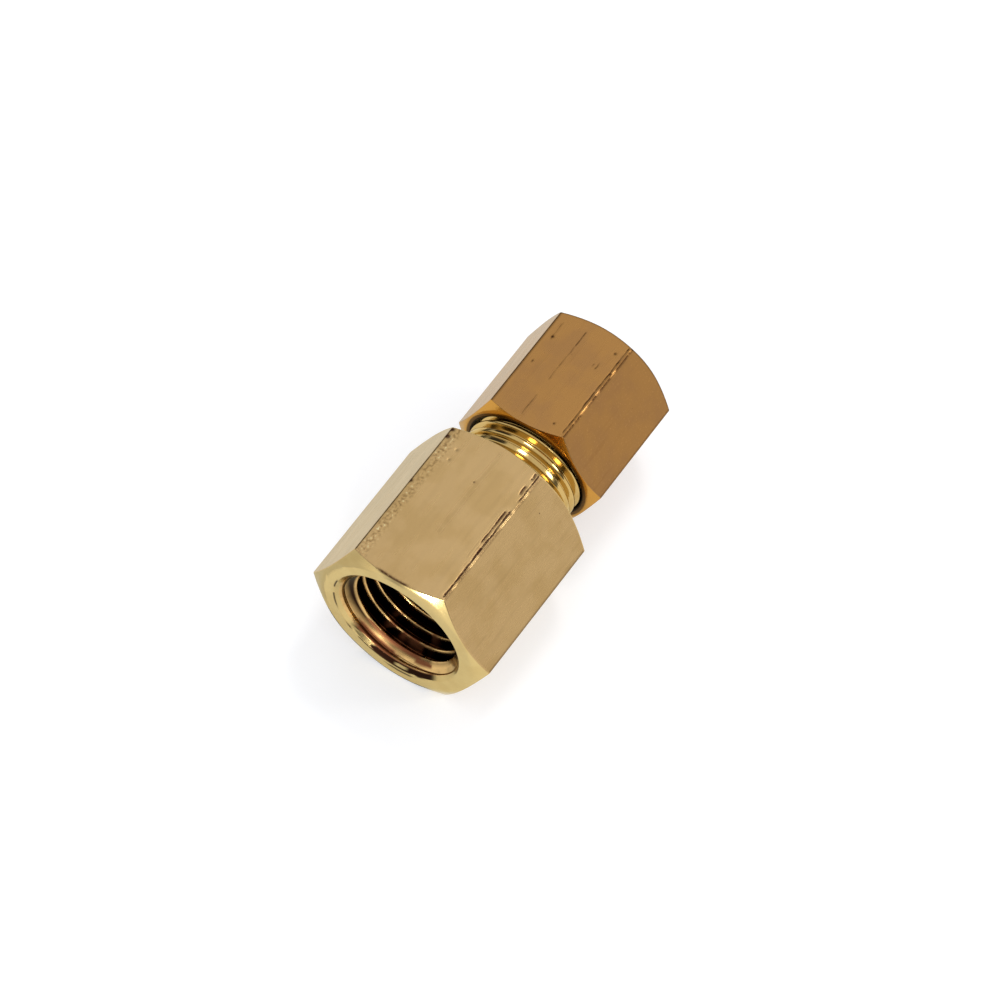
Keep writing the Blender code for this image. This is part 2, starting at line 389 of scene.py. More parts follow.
print("a line's edge, one width away:", round(float(line_at(1.0, 0.0, 1.0)), 2))

# %% [markdown]
# ### The scratches and pits themselves
# They are listed by where they lie on the flat, as a repairer would note them down. A scratch wanders a
# little and its depth varies, because the tool that made it skipped. A pit is a small round dent, and it
# holds dirt as well.

# %% Scratches and pits
# Each scratch is (distance across the flat, start, end, width, depth, dirt). Lengths are in millimetres.
BODY_SCRATCHES = [
    (4.78, 0.9, 7.6, 0.11, 0.020, 1.5),
    (4.76, 7.0, 12.5, 0.10, 0.018, 1.4),
    (4.46, 4.6, 8.2, 0.06, 0.006, 0.7),
    (4.40, 7.8, 12.2, 0.10, 0.018, 1.4),
    (4.43, 14.2, 15.6, 0.13, 0.034, 1.8),
    (4.45, 16.1, 17.3, 0.12, 0.028, 1.6),
    (4.78, 13.4, 17.3, 0.08, 0.014, 1.1),
    (4.15, 5.6, 12.0, 0.07, 0.002, 0.2),
    (0.40, 6.4, 17.4, 0.25, 0.001, 0.16),
]
NUT_SCRATCHES = [
    (3.80, 0.9, 12.8, 0.08, 0.010, 0.9),
    (-0.75, 0.6, 3.6, 0.07, 0.002, 0.5),
    (-0.75, 5.4, 10.2, 0.08, 0.002, 0.4),
    (-0.72, 10.0, 12.2, 0.07, 0.004, 0.9),
    (-3.24, 6.2, 6.8, 0.10, 0.006, 0.8),
    (-3.22, 9.4, 12.0, 0.08, 0.002, 0.4),
    (2.32, 8.7, 9.8, 0.07, 0.005, 0.8),
    (1.90, 8.9, 9.5, 0.06, 0.005, 0.6),
]
# Each pit is (distance across the flat, station, radius, depth, dirt).
BODY_PITS = [
    (0.10, 13.1, 0.10, 0.010, 1.2),
    (-3.30, 13.9, 0.14, 0.030, 0.5),
    (-3.30, 15.2, 0.14, 0.030, 0.5),
    (-3.80, 0.75, 0.12, 0.012, 0.2),
    (-4.95, 10.0, 0.16, 0.030, 1.2),
    (-4.85, 16.0, 0.22, 0.040, 1.4),
    (-4.90, 16.9, 0.20, 0.040, 1.4),
    (4.98, 12.0, 0.14, 0.030, 0.8),
]
NUT_PITS = [
    (-3.20, 9.9, 0.16, 0.012, 1.1),
    (3.00, 11.4, 0.15, 0.014, 1.1),
    (2.50, 1.5, 0.12, 0.012, 1.2),
    (4.02, 9.1, 0.15, 0.030, 1.2),
]
print(len(BODY_SCRATCHES), "scratches on the body and", len(NUT_SCRATCHES), "on the nut")

# %% Columns that hold the marks
STRIP_START, STRIP_EDGE, STRIP_SPACING = -4.96, -3.5, 0.14
NUT_STRIP_EDGE = -4.9  # the nut isn't pitted, so its strip is only one column wide
OVER_A_MARK = np.array([-2.6, -1.5, -0.7, 0, 0.7, 1.5, 2.6])


def columns_near(scratches, pits, strip_edge):
    """Distances across a flat where columns stand: seven over each mark, and evenly over a pitted strip."""
    places = [line + width * OVER_A_MARK for line, _, _, width, _, _ in scratches]
    places += [line + radius * OVER_A_MARK for line, _, radius, _, _ in pits]
    return np.concatenate([*places, np.arange(STRIP_START, strip_edge, STRIP_SPACING)]) * MM


def marked(stations, across, upward, scratches, pits):
    """Depth of the scratches and pits on the flat that faces up, and the grime in them."""
    wander = 0.04 * MM * noise(stations / MM * 1.4, across * 0, 5)
    worn = 1 + 0.45 * noise(across / MM * 3, stations / MM * 1.6, 4)
    dent, grime_and_shade = np.zeros_like(stations), np.zeros_like(stations)
    for line, start, end, width, depth, dirt_and_shade in scratches:
        reach = between(stations, start * MM, end * MM, 0.3 * MM)
        mark = reach * line_at(across + wander, line * MM, width * MM) * worn
        dent += mark * depth * MM
        grime_and_shade += mark * dirt_and_shade
    for line, station, radius, depth, dirt_and_shade in pits:
        away = np.hypot(across - line * MM, stations - station * MM)
        mark = line_at(away, 0, radius * MM)
        dent += mark * depth * MM
        grime_and_shade += mark * dirt_and_shade
    return dent * upward, np.clip(grime_and_shade, 0, 1) * upward


body_angles = hexagon_columns(BODY_FLATS, columns_near(BODY_SCRATCHES, BODY_PITS, STRIP_EDGE))
nut_angles = hexagon_columns(NUT_FLATS, columns_near(NUT_SCRATCHES, NUT_PITS, NUT_STRIP_EDGE), NUT_ROLL)
print(len(body_angles), "columns round the body and", len(nut_angles), "round the nut")

# %% [markdown]
# ### Dirt and painted shade
# Apart from the marks, the code darkens more places. Painted shade lies in a line behind the front chamfer,
# on the lower part and the +Y side of that chamfer and over the whole flat towards -Y, and painted dark
# reflections run along the left and low corners. A broken dark line runs round the countersink's edge,
# smears lie on its cone, and brown streaks of old cutting oil lie low in the pipe thread. On the nut,
# painted shade fills the mouth, where it meets the neck's thread, and thins out over the ring round it, and
# a painted dark reflection runs along the rear crease.

# %% Places that the marks keep to
OUTSIDE = 0.47  # past this share of the flats from the axis, a point is on the outside of the bar
FACE_RIM = 8.52 * MM  # just inside the edge where the front face meets the chamfer
SCRAPE_RADIUS = 7.62 * MM
COUNTERSINK_LOW = 5.6 * MM  # just inside the crests of the pipe thread
NUT_RING = (6.3 * MM, 6.98 * MM)  # the flat ring round the nut's mouth


def from_corner(angles, corner, across_flats, roll=0.0):
    """Distance round the bar from a corner, counted in sixths of a turn: angle from it times its radius."""
    return (angles - roll - corner * TURN / 6) * across_flats / math.sqrt(3)


def patchy(values, seed, start, fade):
    """0 where smooth noise along the values is below start, and 1 where it is past start + fade."""
    return between(noise(values, values * 0, seed), start, 3, fade)


print("corners are", round(from_corner(TURN / 6, 0, BODY_FLATS) / MM, 2), "mm apart round the body")

# %% Dents, grime and painted shade, and pitting
def body_marks(stations, radii, angles):
    """Dents, grime and painted shade, and pitting of the body at each point."""
    across = across_flat(angles, BODY_FLATS)
    outside = radii > OUTSIDE * BODY_FLATS
    upward = (flat_number(angles) == 1) & outside
    dent, grime_and_shade = marked(stations, across, upward, BODY_SCRATCHES, BODY_PITS)
    strip = between(across, -5.3 * MM, STRIP_EDGE * MM, 0.9 * MM) * upward
    strip = strip * between(stations, 0.5 * MM, 17.6 * MM, 0.4 * MM)
    strip = 0.75 * strip * between(noise(across / MM * 0.8, stations / MM * 0.7, 9), -1.2, 3, 1.2)
    pits = np.clip(noise(across / MM * 4, stations / MM * 3.5, 1), 0, 1)
    dent = dent + strip * pits * 0.002 * MM
    crease = chamfer_depth(hexagon_radius(angles, BODY_FLATS), BODY_FLATS) + 0.07 * MM
    # Painted shade: a dark line along the crease behind the front chamfer, on the flat that faces up.
    front_crease_shade = line_at(stations, crease, 0.14 * MM) * upward
    front_crease_shade = front_crease_shade * between(across, -2.4 * MM, 1.7 * MM, 0.4 * MM)
    on_flats = outside & (stations > crease + 0.1 * MM) & (stations < BODY_HEX_LENGTH - crease)
    # Painted dark reflection of the flag along the corner between the top flat and the flat towards +Y.
    left_corner_reflection = line_at(from_corner(angles, 1, BODY_FLATS), 0.02 * MM, 0.09 * MM) * on_flats
    left_corner_reflection = left_corner_reflection * patchy(stations / MM * 1.1, 6, -0.9, 0.6)
    # Painted dark reflection of the shaded table along the corner at -Y.
    low_corner_reflection = line_at(from_corner(angles, 3, BODY_FLATS), -0.06 * MM, 0.10 * MM) * on_flats
    right_corner = line_at(from_corner(angles, 2, BODY_FLATS), 0, 0.13 * MM) * on_flats
    right_corner = right_corner * patchy(stations / MM * 1.7, 8, -0.35, 0.5)
    # Painted shade: the whole flat towards -Y is a little darker.
    right_flat_shade = 0.13 * (flat_number(angles) == 2) * on_flats
    # Painted shade on the lower part of the front chamfer.
    lower_chamfer_shade = between(radii, FACE_RIM, 12 * MM, 0.08 * MM) * facing(angles, 292, 50, 12)
    lower_chamfer_shade = lower_chamfer_shade * (stations < 0.5 * MM)
    sink_edge = line_at(np.hypot(radii - SINK_RADIUS - 0.03 * MM, stations), 0, 0.10 * MM)
    sink_edge = sink_edge * patchy(angles * 9, 2, -0.45, 0.3) * facing(angles, 315, 75, 10)
    cone = (radii > COUNTERSINK_LOW) & (radii < SINK_RADIUS) & (stations < 1.5 * MM)
    smears = between(noise(radii / MM * 5, angles * 3, 7), -0.2, 3, 0.2)
    smears = smears * facing(angles, 276, 50, 14) * cone
    scrape = line_at(radii, SCRAPE_RADIUS, 0.14 * MM) * facing(angles, 268, 16, 7) * (stations < 0.1 * MM)
    wall = (stations > 1.2 * MM) & (stations < 13 * MM) & (radii < 6.9 * MM)
    oil = facing(angles, 274, 34, 16) * wall * between(stations, 0, 5.2 * MM, 1.6 * MM)
    oil = oil * between(noise(angles * 9, stations / MM * 1.3, 3), -0.5, 3, 0.7)
    chamfer = outside & (stations < crease - 0.1 * MM)
    shade = 0.35 * facing(angles, 25, 55, 20) * chamfer
    grime_and_shade = grime_and_shade + front_crease_shade + 0.75 * left_corner_reflection + 0.5 * low_corner_reflection + lower_chamfer_shade
    grime_and_shade = grime_and_shade + 0.9 * sink_edge + smears + oil + scrape + shade + 0.55 * right_corner + right_flat_shade
    return dent, np.clip(grime_and_shade, 0, 1), strip


def nut_marks(stations, radii, angles):
    """Dents, grime and painted shade, and pitting of the nut at each point."""
    from_mouth = stations - NUT_MOUTH
    across = across_flat(angles, NUT_FLATS, NUT_ROLL)
    outside = radii > OUTSIDE * NUT_FLATS
    upward = (flat_number(angles, NUT_ROLL) == 1) & outside
    dent, grime_and_shade = marked(from_mouth, across, upward, NUT_SCRATCHES, NUT_PITS)
    crease = NUT_LENGTH - chamfer_depth(hexagon_radius(angles, NUT_FLATS, NUT_ROLL), NUT_FLATS)
    # Painted dark reflection of the horizon along the rear crease.
    rear_crease_reflection = line_at(from_mouth, crease, 0.10 * MM) * outside
    on_flats = outside & (from_mouth > NUT_LENGTH - crease) & (from_mouth < crease)
    # Painted dark reflection of the flag along the corner between the top flat and the flat towards +Y.
    left_corner_reflection = line_at(from_corner(angles, 1, NUT_FLATS, NUT_ROLL), 0.02 * MM, 0.09 * MM) * on_flats
    # Painted shade on the flat ring round the mouth, which faces the body.
    ring = between(radii, *NUT_RING, 0.14 * MM) * (from_mouth < 0.15 * MM)
    # Painted shade: the mouth and the thread inside it are darkened to nearly black.
    mouth = (radii < NUT_MOUTH_RADIUS + 0.06 * MM) & (from_mouth < 9 * MM)
    # Painted dark reflection of the shaded table along the corner at -Y.
    low_corner_reflection = line_at(from_corner(angles, 3, NUT_FLATS, NUT_ROLL), -0.06 * MM, 0.10 * MM) * on_flats
    right_corner = line_at(from_corner(angles, 2, NUT_FLATS, NUT_ROLL), 0, 0.13 * MM) * on_flats
    right_corner = right_corner * patchy(stations / MM * 1.7, 8, -0.6, 0.5)
    # Painted shade: the whole flat towards -Y is a little darker.
    right_flat_shade = 0.22 * (flat_number(angles, NUT_ROLL) == 2) * on_flats
    grime_and_shade = grime_and_shade + 0.6 * rear_crease_reflection + 0.9 * left_corner_reflection + 0.4 * low_corner_reflection + 0.75 * right_corner
    grime_and_shade = grime_and_shade + 0.7 * ring + mouth + right_flat_shade
    return dent, np.clip(grime_and_shade, 0, 1), np.zeros_like(grime_and_shade)


print("widest scratch on the body:", max(scratch[3] for scratch in BODY_SCRATCHES), "mm")

# %% [markdown]
# ## The adapter body
# One piece of 11/16 inch hexagon bar. The front end is faced, chamfered, drilled, countersunk and tapped
# with a tapered pipe thread, whose radius shrinks by 1 in 32 going in. The other end is turned down to a
# neck, threaded 24 to the inch, and bored for the tube, with a conical seat at its mouth for the ferrule.

# %% Threads of the body
NECK_THREAD = {
    "pitch": INCH / 24,
    "groove_at": BODY_HEX_LENGTH + 0.82 * MM,
    "depth": 0.65 * MM,
    "crest": INCH / 24 / 4,
    "wear": 0.06 * MM,
    "runout": (BODY_HEX_LENGTH + 0.1 * MM, 1.0 * MM),
    "lift": 0.24 * MM,
    "lead": (BODY_HEX_LENGTH + 2.4 * MM, 0.9 * MM),
}
PORT_THREAD = {
    "pitch": INCH / 18,
    "groove_at": INCH / 18 / 2,
    "depth": 1.0 * MM,
    "crest": 0.1 * MM,
    "wear": 0.04 * MM,
    "runout": (12.2 * MM, -2.2 * MM),
    "lift": 0.0,
    "lead": (0.0, 1.0 * MM),
}
print("neck grooves", NECK_THREAD["depth"] / MM, "mm deep, port grooves", PORT_THREAD["depth"] / MM, "mm")

# %% Sizes of the body
NECK_RADIUS = 6.25 * MM
NECK_TIP_RADIUS = 5.75 * MM
PORT_RADIUS = 5.74 * MM
PORT_TAPER = 1 / 32
SINK_RADIUS = 7.14 * MM
SINK_END = 0.36 * MM
PORT_DEPTH = 12.8 * MM
WATERWAY_RADIUS = INCH / 8
TUBE_HOLE_RADIUS = 5 / 32 * INCH + 0.08 * MM
TUBE_STOP = 20.6 * MM
SEAT_RADIUS = 5.2 * MM
SEAT_ANGLE = math.radians(22)
DRILL_POINT = math.radians(59)
print("waterway", round(2 * WATERWAY_RADIUS / MM, 2), "mm wide")
print("tube hole", round(2 * TUBE_HOLE_RADIUS / MM, 2), "mm wide")

# %% Outline of a chamfered hexagon
CHAMFER_STEPS = 5
FACE_WEAR, FLAT_WEAR, REAR_WEAR = 0.5 * MM, 0.07 * MM, 0.2 * MM


def hexagon_run(radius, across_flats, length, flat_rows):
    """Corners along the outside of a chamfered hexagon of that length, from station 0."""
    circle = CHAMFER_CIRCLE * across_flats / 2
    depth = chamfer_depth(radius, across_flats)
    return [
        (0, circle, FACE_WEAR, CHAMFER_STEPS),
        (depth, radius, FLAT_WEAR, flat_rows),
        (length - depth, radius, FLAT_WEAR, CHAMFER_STEPS),
        (length, circle, REAR_WEAR, CHAMFER_STEPS),
    ]


def rows_before_flats(*steps):
    """Rows up to the chamfer's outer end: the first, the steps of each run, and two worn edges."""
    return 1 + sum(steps) + 2 * EDGE_STEPS


print("a chamfer has", CHAMFER_STEPS, "rows and each worn edge", EDGE_STEPS)

# %% Body surface
BODY_FLAT_ROWS = 125
SINK_STEPS, FACE_STEPS = 4, 6
THREAD_BLEND = 0.04 * MM


def neck_surface(stations, angles):
    """Neck radius: the bar less the thread's groove, and less the 45 degree chamfer at the tip."""
    turned = NECK_RADIUS - groove_depth(stations, angles, NECK_THREAD)
    return soft_min(turned, NECK_TIP_RADIUS + (NECK_END - stations), THREAD_BLEND)


def port_surface(stations, angles):
    """Port radius: the tapered hole and its groove, opened by the 45 degree countersink."""
    hole = PORT_RADIUS - PORT_TAPER * stations + groove_depth(stations, angles, PORT_THREAD)
    return soft_max(hole, SINK_RADIUS - stations, THREAD_BLEND)


def body_parts(angles):
    """Rows and finishes once round the body's outline: front, flats, rear, neck, passage and port."""
    outside = hexagon_radius(angles, BODY_FLATS)
    corners = hexagon_run(outside, BODY_FLATS, BODY_HEX_LENGTH, BODY_FLAT_ROWS)
    neck_root = neck_surface(BODY_HEX_LENGTH, angles)
    sink_end = port_surface(SINK_END, angles)
    port_end = PORT_RADIUS - PORT_TAPER * PORT_DEPTH
    waterway = PORT_DEPTH + (port_end - WATERWAY_RADIUS) / math.tan(DRILL_POINT)
    seat = NECK_END - (SEAT_RADIUS - TUBE_HOLE_RADIUS) / math.tan(SEAT_ANGLE)
    rows = along([
        (SINK_END, sink_end, 0, SINK_STEPS),
        (0, SINK_RADIUS, 0.12 * MM, FACE_STEPS),
        *corners,
        (BODY_HEX_LENGTH, neck_root, 0, 0),
    ])
    front = rows_before_flats(SINK_STEPS, FACE_STEPS, CHAMFER_STEPS)
    flats = BODY_FLAT_ROWS + EDGE_STEPS
    neck = thread_stations(BODY_HEX_LENGTH, NECK_END, angles, NECK_THREAD)
    port = thread_stations(SINK_END, PORT_THREAD["runout"][0], angles, PORT_THREAD)[::-1]
    port_last = port_surface(PORT_THREAD["runout"][0], angles)
    passage = along([
        (NECK_END, neck_surface(NECK_END, angles), 0, 3),
        (NECK_END, SEAT_RADIUS, 0.08 * MM, 5),
        (seat, TUBE_HOLE_RADIUS, 0.08 * MM, 5),
        (TUBE_STOP, TUBE_HOLE_RADIUS, 0.05 * MM, 3),
        (TUBE_STOP, WATERWAY_RADIUS, 0.08 * MM, 5),
        (waterway, WATERWAY_RADIUS, 0.08 * MM, 4),
        (PORT_DEPTH, port_end, 0.08 * MM, 3),
        (PORT_THREAD["runout"][0], port_last, 0, 0),
    ])
    return [
        (rows[:front], TURNED),
        (rows[front : front + flats], DRAWN),
        (rows[front + flats :], TURNED),
        (np.stack([neck, neck_surface(neck, angles)], 1), THREADED),
        (passage, TURNED),
        (np.stack([port, port_surface(port, angles)], 1), BORED),
    ]


body = skin("body_hexagon_and_neck", body_parts(body_angles), body_angles, body_marks)

# %% [markdown]
# ## The compression nut
# One piece of 9/16 inch bar. Its thread is the neck's, half a pitch on, so that its crests lie in the
# neck's grooves, with a little more room at every radius: a brass nut has to run on with the fingers.
# Behind the thread a 45 degree shoulder waits for the ferrule, and the tube passes through the hole in the
# back.

# %% Sizes of the nut
NUT_RADIUS = 5.78 * MM
NUT_MOUTH_RADIUS = 6.5 * MM
NUT_SINK_END = 0.1 * MM
NUT_THREAD_END = 8.5 * MM
NUT_SHOULDER = 9.82 * MM
NUT_FLAT_ROWS = 100
NUT_THREAD = {
    "pitch": INCH / 24,
    "groove_at": NECK_THREAD["groove_at"] + INCH / 24 / 2 - NUT_MOUTH,
    "depth": 0.59 * MM,
    "crest": INCH / 24 / 8,
    "wear": 0.05 * MM,
    "runout": (NUT_THREAD_END, -1.0 * MM),
    "lift": 0.0,
    "lead": (0.0, 1.0 * MM),
}
NUT_HOLE_CHAMFER = 0.3 * MM
NUT_SINK_STEPS, NUT_FACE_STEPS = 2, 5
print("thread", round(NUT_THREAD_END / MM, 1), "mm long, shoulder", round(NUT_SHOULDER / MM, 2), "mm in")


# %% Nut surface
def nut_surface(stations, angles):
    """Nut's bore: the hole and its groove, opened by the countersink. Stations are from the nut's mouth."""
    hole = NUT_RADIUS + groove_depth(stations, angles, NUT_THREAD)
    return soft_max(hole, NUT_MOUTH_RADIUS - stations, THREAD_BLEND)


def nut_parts(angles):
    """Rows and finishes once round the nut's outline: front, flats, rear with the tube hole, and thread."""
    outside = hexagon_radius(angles, NUT_FLATS, NUT_ROLL)
    corners = hexagon_run(outside, NUT_FLATS, NUT_LENGTH, NUT_FLAT_ROWS)
    shoulder_end = NUT_SHOULDER + NUT_RADIUS - TUBE_HOLE_RADIUS
    mouth = nut_surface(NUT_SINK_END, angles)
    rows = along([
        (NUT_SINK_END, mouth, 0, NUT_SINK_STEPS),
        (0, NUT_MOUTH_RADIUS, 0.05 * MM, NUT_FACE_STEPS),
        *corners,
        (NUT_LENGTH, TUBE_HOLE_RADIUS + NUT_HOLE_CHAMFER, 0.08 * MM, 3),
        (NUT_LENGTH - NUT_HOLE_CHAMFER, TUBE_HOLE_RADIUS, 0.08 * MM, 4),
        (shoulder_end, TUBE_HOLE_RADIUS, 0.05 * MM, 5),
        (NUT_SHOULDER, NUT_RADIUS, 0.05 * MM, 4),
        (NUT_THREAD_END, nut_surface(NUT_THREAD_END, angles), 0, 0),
    ])
    front = rows_before_flats(NUT_SINK_STEPS, NUT_FACE_STEPS, CHAMFER_STEPS)
    flats = NUT_FLAT_ROWS + EDGE_STEPS
    thread = thread_stations(NUT_SINK_END, NUT_THREAD_END, angles, NUT_THREAD)[::-1]
    parts = [
        (rows[:front], TURNED),
        (rows[front : front + flats], DRAWN),
        (rows[front + flats :], TURNED),
        (np.stack([thread, nut_surface(thread, angles)], 1), BORED),
    ]
    return [(part + np.array([NUT_MOUTH, 0])[:, None], finish) for part, finish in parts]


nut = skin("nut_hexagon_and_thread", nut_parts(nut_angles), nut_angles, nut_marks)

# %% [markdown]
# ## The ferrule
# A short brass ring with a long taper at its nose and a short one at its tail, turned and parted off a
# tube. Its edges are well rounded, so that they bite the tube without cutting it.

# %% Ferrule surface
FERRULE_BORE = 5 / 32 * INCH + 0.06 * MM
FERRULE_NOSE_RADIUS = 4.25 * MM
FERRULE_RADIUS = 4.95 * MM
FERRULE_NOSE_LENGTH = 2.6 * MM
FERRULE_COLUMNS = 120


def ferrule_rows():
    """Rows once round the ring's outline, from the middle of its bore. The last would repeat the first."""
    tail = FERRULE_RADIUS - FERRULE_NOSE_RADIUS
    middle = FERRULE_LENGTH / 2
    corners = [
        (middle, FERRULE_BORE, 0, 8),
        (0, FERRULE_BORE, 0.05 * MM, 2),
        (0, FERRULE_NOSE_RADIUS, 0.08 * MM, 8),
        (FERRULE_NOSE_LENGTH, FERRULE_RADIUS, 0.5 * MM, 6),
        (FERRULE_LENGTH - tail, FERRULE_RADIUS, 0.2 * MM, 5),
        (FERRULE_LENGTH, FERRULE_NOSE_RADIUS, 0.08 * MM, 2),
        (FERRULE_LENGTH, FERRULE_BORE, 0.05 * MM, 8),
        (middle, FERRULE_BORE, 0, 0),
    ]
    ring = np.ones(FERRULE_COLUMNS + 1)
    rows = along([(station, radius * ring, wear, steps) for station, radius, wear, steps in corners])
    return rows[:-1] + np.array([FERRULE_NOSE, 0])[:, None]


ferrule_angles = np.linspace(0, TURN, FERRULE_COLUMNS + 1)


def ferrule_marks(stations, radii, angles):
    """The ferrule is new, and nothing has marked it."""
    clean = np.zeros_like(stations)
    return clean, clean, clean


ferrule = skin("ferrule_ring", [(ferrule_rows(), TURNED)], ferrule_angles, ferrule_marks)

# %% [markdown]
# ## Riding on the frame
# Each surface stands for its solid in the frame and rides on the same body, so the nut turns and travels
# with its joint.

# %% Ride and replace
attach(body, "body")
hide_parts("adapter_body")
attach(nut, "nut")
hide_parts("compression_nut")
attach(ferrule, "ferrule")
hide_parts("ferrule")
print("riding:", body.name, nut.name, ferrule.name)

# %% [markdown]
# ## Brass
# Brass is copper and zinc: the more copper, the redder it is. The body is a common free-cutting brass, pale
# yellow where it is freshly cut and duller where the drawn skin of the bar is left. The nut comes from a
# redder bar. One helper adds a node, sets it and links it, and another turns a colour from its sRGB hex to
# linear light. The pattern coordinates are millimetres from the fitting's axis, so that every scale below
# is a real size.

# %% Node helper and colours
def linear(code):
    """An sRGB hex colour as linear light: ((c + 0.055) / 1.055)^2.4, and c / 12.92 at the dark end."""
    channels = [int(code[at : at + 2], 16) / 255 for at in (1, 3, 5)]
    return (*(c / 12.92 if c <= 0.04045 else ((c + 0.055) / 1.055) ** 2.4 for c in channels), 1.0)


def add(tree, kind, sockets=None, **settings):
    """Adds a node. Settings are its own properties, and sockets gives its inputs values or links."""
    made = tree.nodes.new(kind)
    for name, value in settings.items():
        setattr(made, name, value)
    for key, value in (sockets or {}).items():
        if isinstance(value, bpy.types.NodeSocket):
            tree.links.new(value, made.inputs[key])
        else:
            made.inputs[key].default_value = value
    return made


# Brass loses a little light, and more of the blue, where it is seen almost edge on.
EDGE_TINT = (0.88, 0.88, 0.76, 1.0)


def new_metal(name):
    """A metal with its shader, and coordinates in millimetres from the fitting's axis."""
    material = bpy.data.materials.new(name)
    material.use_nodes = True
    tree = material.node_tree
    shader = tree.nodes["Principled BSDF"]
    shader.inputs["Metallic"].default_value = 1.0
    shader.inputs["Specular Tint"].default_value = EDGE_TINT
    place = add(tree, "ShaderNodeTexCoord").outputs["Object"]
    centred = add(tree, "ShaderNodeMapping", {"Vector": place, "Location": (0, 0, -AXIS_Z)})
    in_mm = add(tree, "ShaderNodeVectorMath", {0: centred.outputs[0], "Scale": 1 / MM}, operation="SCALE")
    return material, tree, shader, in_mm.outputs[0]


def layered(tree, base, layers):
    """Lays colours over a base. A layer is (pattern, start, where it is full, strength, colour)."""
    colour = linear(base)
    for pattern, start, full, strength, tint in layers:
        limits = {"Value": pattern, "From Min": start, "From Max": full, "To Max": strength}
        amount = add(tree, "ShaderNodeMapRange", limits, interpolation_type="SMOOTHSTEP").outputs[0]
        laid = {0: amount, 6: colour, 7: linear(tint)}
        colour = add(tree, "ShaderNodeMix", laid, data_type="RGBA").outputs[2]
    return colour


print("edge tint", EDGE_TINT[:3], "and mid grey in linear light", round(linear("#808080")[0], 3))

# %% [markdown]
# ### Drawn flats
# The die leaves faint streaks along the bar, a few tenths of a millimetre apart. The skin is oxidised in
# soft patches some millimetres wide, and it has a few dark specks. Streaks are noise stretched along X. The
# pitted strip is mottled dark and pale, a quarter of a millimetre across. The grime in the scratches and the
# painted shade on the flats share one dark red-brown, broken up finely by grain noise.

# %% Drawn brass
# How many there are in a millimetre.
STREAKS, PATCHES, GRAINS, MOTTLES, SPECKS = 2.2, 0.32, 6.0, 3.2, 0.30
MOTTLE_COLOUR = "#e6d6a4"
STREAK_HEIGHT, GRAIN_HEIGHT, MOTTLE_HEIGHT = 0.0016, 0.0006, 0.007  # millimetres


def drawn_brass(name, pale, dull, streaked, grime_and_shade_colour, roughness):
    """Drawn brass: streaks, dull patches, specks, a mottled strip, and grime with painted shade, laid over
    the pale metal.
    """
    material, tree, shader, place = new_metal(name)
    grime_and_shade = add(tree, "ShaderNodeAttribute", attribute_name="grime_and_shade").outputs["Fac"]
    pitting = add(tree, "ShaderNodeAttribute", attribute_name="pitting").outputs["Fac"]
    along_bar = add(tree, "ShaderNodeMapping", {"Vector": place, "Scale": (0.08, 1.0, 1.0)}).outputs[0]
    streaked_noise = {"Vector": along_bar, "Scale": STREAKS, "Detail": 3.0}
    streaks = add(tree, "ShaderNodeTexNoise", streaked_noise).outputs[0]
    patches = add(tree, "ShaderNodeTexNoise", {"Vector": place, "Scale": PATCHES, "Detail": 5.0}).outputs[0]
    grain = add(tree, "ShaderNodeTexNoise", {"Vector": place, "Scale": GRAINS, "Detail": 2.0}).outputs[0]
    mottle = add(tree, "ShaderNodeTexNoise", {"Vector": place, "Scale": MOTTLES, "Detail": 3.0}).outputs[0]
    specks = add(tree, "ShaderNodeTexVoronoi", {"Vector": place, "Scale": SPECKS}).outputs["Distance"]
    layers = [
        (patches, 0.40, 0.64, 1.0, dull),
        (streaks, 0.55, 0.75, 0.14, streaked),
        (specks, 0.035, 0.02, 0.9, grime_and_shade_colour),
        (mottle, 0.52, 0.38, pitting, streaked),
        (mottle, 0.60, 0.70, pitting, MOTTLE_COLOUR),
        (grain, 0.20, 0.45, grime_and_shade, grime_and_shade_colour),
    ]
    tree.links.new(layered(tree, pale, layers), shader.inputs["Base Color"])
    limits = {"Value": streaks, "From Min": 0.3, "From Max": 0.7}
    limits |= {"To Min": roughness - 0.03, "To Max": roughness + 0.03}
    rough = add(tree, "ShaderNodeMapRange", limits).outputs[0]
    rough = add(tree, "ShaderNodeMath", {0: grime_and_shade, 1: 0.2, 2: rough}, operation="MULTIPLY_ADD").outputs[0]
    tree.links.new(rough, shader.inputs["Roughness"])
    height = add(tree, "ShaderNodeMath", {0: pitting, 1: mottle}, operation="MULTIPLY").outputs[0]
    height = add(tree, "ShaderNodeMath", {0: height, 1: MOTTLE_HEIGHT}, operation="MULTIPLY").outputs[0]
    for pattern, millimetres in ((streaks, STREAK_HEIGHT), (grain, GRAIN_HEIGHT)):
        raised = {0: pattern, 1: millimetres, 2: height}
        height = add(tree, "ShaderNodeMath", raised, operation="MULTIPLY_ADD").outputs[0]
    bump = add(tree, "ShaderNodeBump", {"Height": height, "Distance": MM})
    tree.links.new(bump.outputs[0], shader.inputs["Normal"])
    return material


print("streaks", round(1 / STREAKS, 2), "mm apart, dull patches", round(1 / PATCHES, 1), "mm")

# %% [markdown]
# ### Turned faces and threads
# A lathe tool leaves fine rings round the axis, so this pattern is noise read from (station, radius) with
# the angle left out. The cut metal is cleaner and shinier than the drawn flats. In the pipe thread, painted
# shade darkens the grooves nearly to black, so only the crests are bright: past the countersink the colour
# changes with the depth below the crests.

# %% Turned brass
RINGS = 9.0  # in a millimetre
RING_HEIGHT = 0.003  # millimetres
# The colour of grime and of painted shade on turned faces.
DIRT_AND_SHADE = "#2c180f"
# The painted shade in the pipe thread's grooves fades in over these stations.
PAST_SINK = (0.9, 1.4)  # stations in millimetres, over which the pipe thread begins to darken


